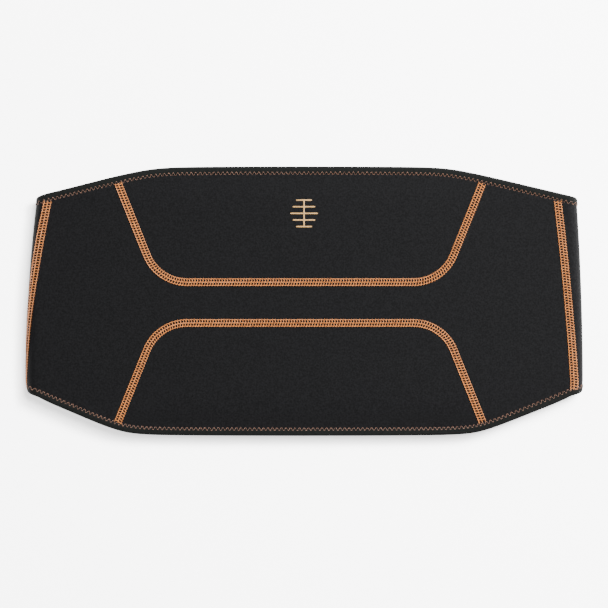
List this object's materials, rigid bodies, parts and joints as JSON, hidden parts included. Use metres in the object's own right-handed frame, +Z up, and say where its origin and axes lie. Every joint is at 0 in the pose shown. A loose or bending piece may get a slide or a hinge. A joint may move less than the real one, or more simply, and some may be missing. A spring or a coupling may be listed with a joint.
{
  "type": "lumbar support belt",
  "caption": "Waist-wide elastic back support with curved lumbar panels, contrast flatlock seams, stays along the spine and overlapping front wings closed by hook and loop, lying flat.",
  "frame": {"origin": "middle of the footprint of the fastened belt, on the surface that it lies on", "axes": "+X along the belt from its left fold to its right fold, +Y towards the belt's upper edge, +Z up, out of the wearer's back"},
  "size_m": [0.4382, 0.2118, 0.0178],
  "materials": {
    "shell_fabric": "matte knit",
    "edge_binding": "matte folded tape",
    "copper_thread": "soft satin thread",
    "hook_tape": "hooked tape",
    "loop_tape": "napped loop",
    "casing_tape": "matte tape",
    "stay_steel": "plain spring steel",
    "transfer": "flat heat transfer"
  },
  "bodies": {
    "back": {"waist_panel": "shell_fabric", "upper_lumbar_panel": "shell_fabric", "lower_lumbar_panel": "shell_fabric", "upper_lumbar_seam": "copper_thread", "lower_lumbar_seam": "copper_thread", "left_side_seam": "copper_thread", "right_side_seam": "copper_thread", "back_top_binding": "edge_binding", "back_bottom_binding": "edge_binding", "back_top_zigzag": "copper_thread", "back_bottom_zigzag": "copper_thread", "stay_casing_1": "casing_tape", "stay_casing_2": "casing_tape", "stay_casing_3": "casing_tape", "stay_casing_4": "casing_tape", "stay_1": "stay_steel", "stay_2": "stay_steel", "stay_3": "stay_steel", "stay_4": "stay_steel", "transfer_mark": "transfer"},
    "left_wing": {"left_front_panel": "shell_fabric", "left_front_top_binding": "edge_binding", "left_front_bottom_binding": "edge_binding", "left_front_top_zigzag": "copper_thread", "left_front_bottom_zigzag": "copper_thread"},
    "closure_flap": {"closure_panel": "shell_fabric", "closure_binding": "edge_binding", "closure_zigzag": "copper_thread", "hook_patch": "hook_tape"},
    "right_wing": {"right_front_panel": "shell_fabric", "right_front_binding": "edge_binding", "right_front_zigzag": "copper_thread", "loop_patch": "loop_tape"}
  },
  "joints": [
    {"name": "left_fold", "type": "hinge", "parent": "back", "child": "left_wing", "pos_m": [-0.2078, 0, 0.0089], "axis": [0.045, 0.999, 0], "range_deg": [0, 178]},
    {"name": "right_fold", "type": "hinge", "parent": "back", "child": "right_wing", "pos_m": [0.2078, 0, 0.0089], "axis": [0.022, -0.9998, 0], "range_deg": [0, 178]},
    {"name": "closure_peel", "type": "hinge", "parent": "left_wing", "child": "closure_flap", "pos_m": [-0.0075, -0.00901, 0.0019], "axis": [0.045, 0.999, 0], "range_deg": [0, 110]}
  ],
  "couplings": [
    {"joint": "right_fold", "follows": "left_fold", "ratio": 1}
  ]
}
